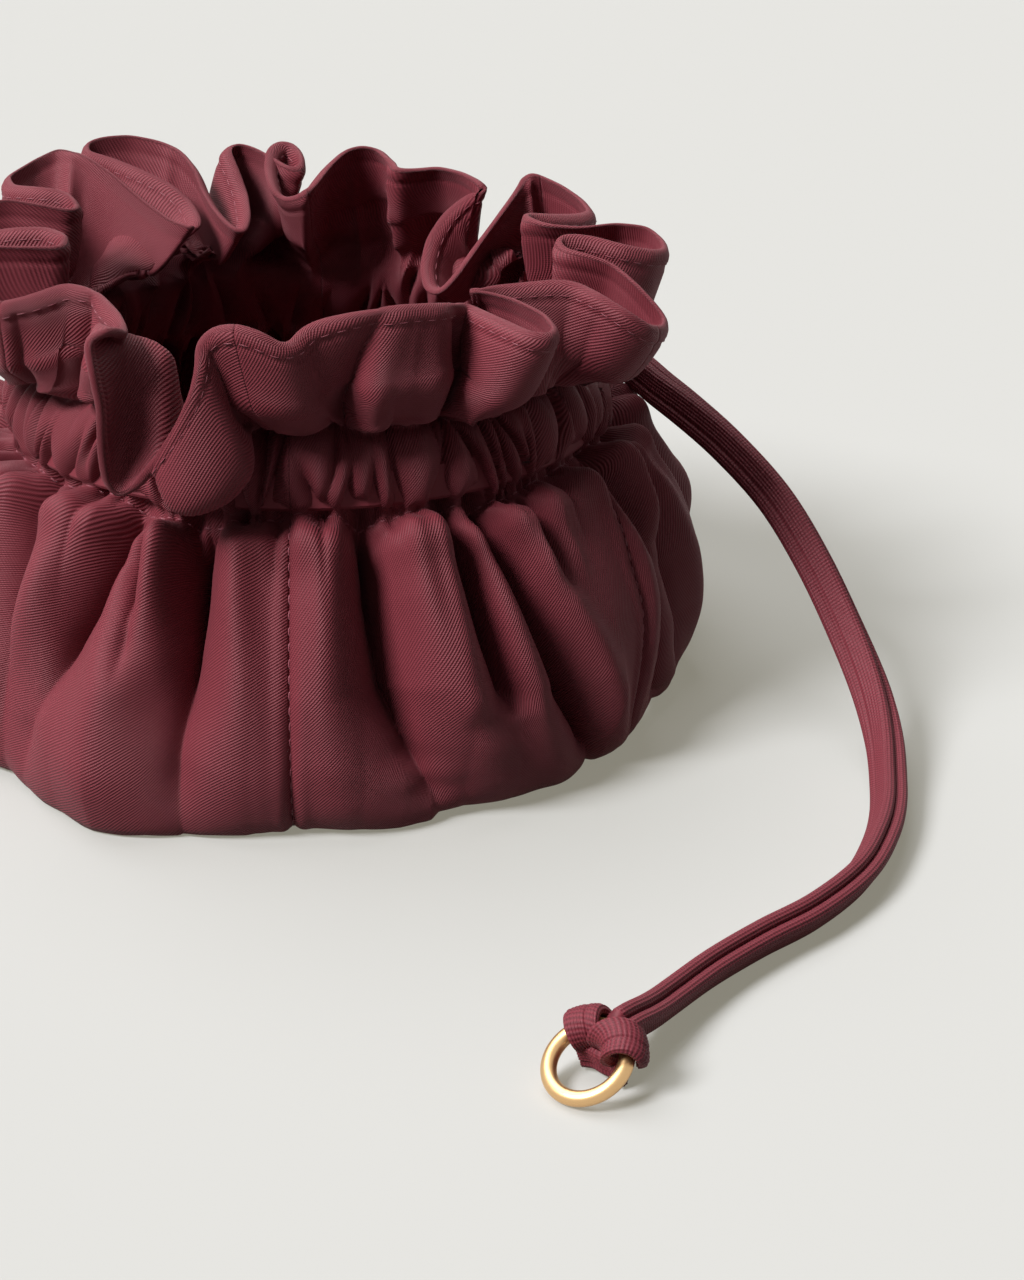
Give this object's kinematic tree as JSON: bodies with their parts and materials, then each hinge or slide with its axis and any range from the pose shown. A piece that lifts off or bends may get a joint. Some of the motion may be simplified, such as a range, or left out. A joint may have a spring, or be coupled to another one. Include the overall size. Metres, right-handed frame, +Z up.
{
  "type": "drawstring pouch",
  "caption": "Round gathered cloth pouch with a frilled mouth, a drawstring channel, and a doubled flat drawstring that ends in a cow hitch on a metal ring.",
  "frame": {"origin": "middle of the underside of the base, on the surface the pouch stands on", "axes": "+Z up through the mouth, -Y the front seam, +X the side on which the drawstring comes out"},
  "size_m": [0.2851, 0.3641, 0.1399],
  "materials": {
    "twill": "fine diagonal twill with a slight sheen",
    "strap": "folded twill strap, ribbed along its length",
    "gilt": "satin gold"
  },
  "bodies": {
    "pouch": {"side_panel_1": "twill", "side_panel_2": "twill", "side_panel_3": "twill", "side_panel_4": "twill", "side_panel_5": "twill", "side_panel_6": "twill", "base_panel": "twill", "drawstring_run": "strap", "drawstring_strand_1": "strap", "drawstring_strand_2": "strap", "drawstring_hitch": "strap"},
    "ring": {"ring": "gilt"}
  },
  "joints": [
    {"name": "ring_turn", "type": "hinge", "parent": "pouch", "child": "ring", "pos_m": [0.0774, -0.2374, 0.0074], "axis": [-0.3681, -0.3812, 0.848], "continuous": true}
  ]
}
